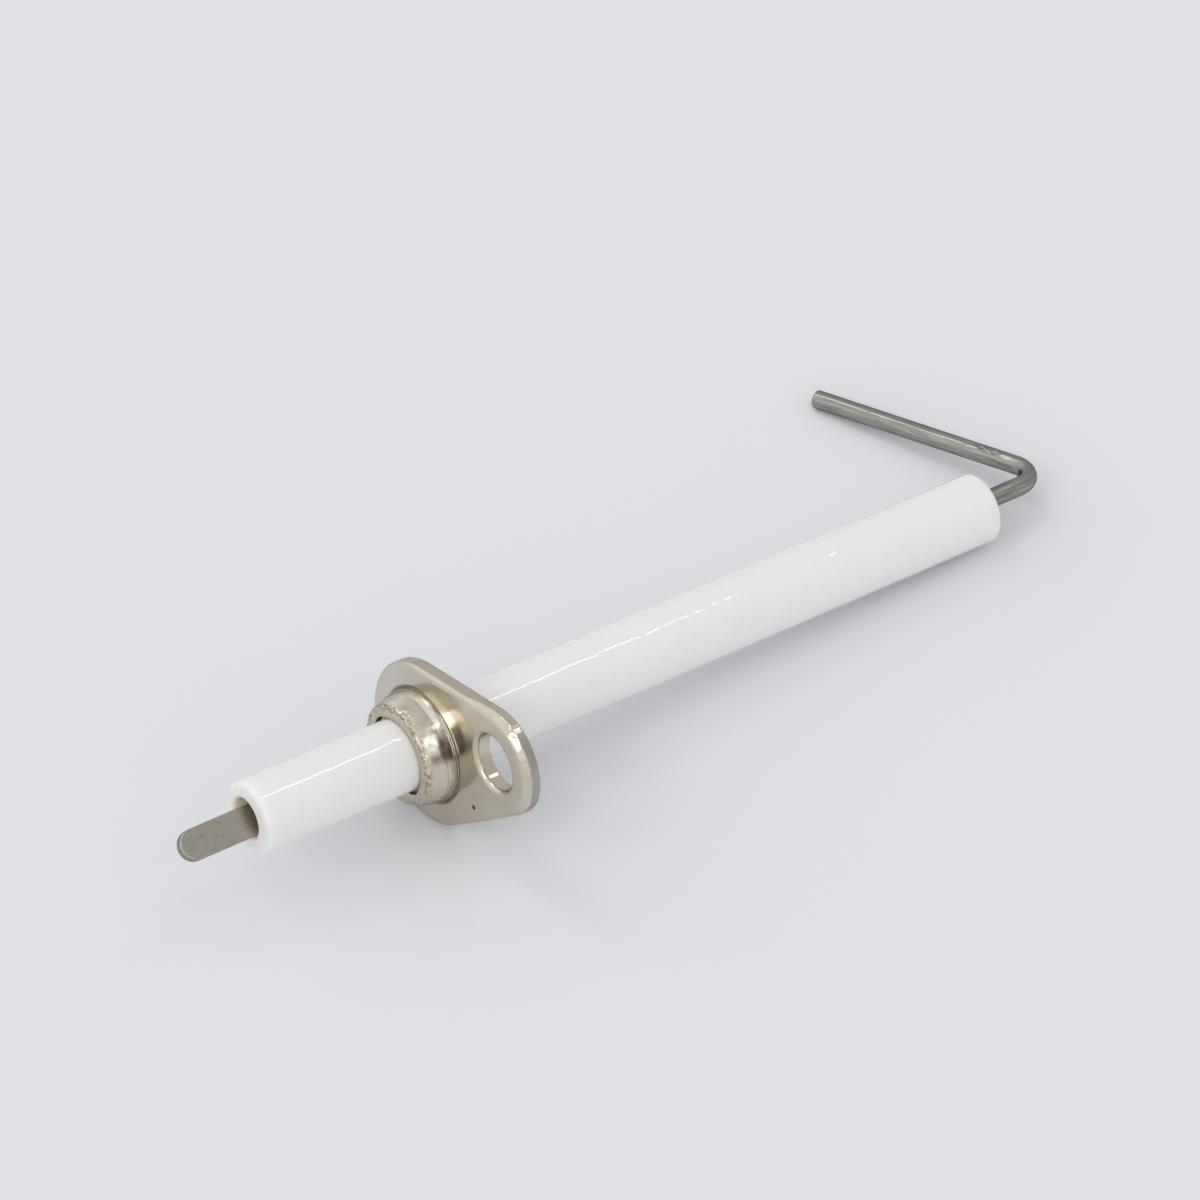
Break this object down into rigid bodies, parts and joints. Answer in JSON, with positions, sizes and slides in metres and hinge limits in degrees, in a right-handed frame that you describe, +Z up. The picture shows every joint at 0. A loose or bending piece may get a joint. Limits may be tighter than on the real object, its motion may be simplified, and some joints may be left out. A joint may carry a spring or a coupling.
{
  "type": "ignition electrode",
  "caption": "Spark ignition electrode: glazed ceramic tube with a crimped single-screw flange, a flat lead blade at one end and a bent sparking wire at the other.",
  "frame": {"origin": "where the axis of the ceramic tube crosses the flange's flat mounting face", "axes": "+X along the tube towards the spark end, -Y through the centre of the flange's screw hole, +Z up; the blade for the lead is at the -X end and the bent wire's leg lies on the +Y side"},
  "size_m": [0.0861, 0.0343, 0.0151],
  "materials": {
    "glazed_ceramic": "white alumina with a clear gloss glaze",
    "nickel_plated_steel": "pressed steel, warm satin nickel plating",
    "electrode_steel": "drawn heat-resistant wire, dull grey with lengthwise draw lines",
    "blade_steel": "stamped strip, matt grey with light scratches",
    "cement": "matt refractory cement, off-white"
  },
  "bodies": {
    "root": {"insulator": "glazed_ceramic", "mounting_flange": "nickel_plated_steel", "electrode_rod": "electrode_steel", "blade_terminal": "blade_steel", "collar_packing": "cement", "terminal_cement": "cement", "spark_end_cement": "cement"}
  },
  "joints": []
}
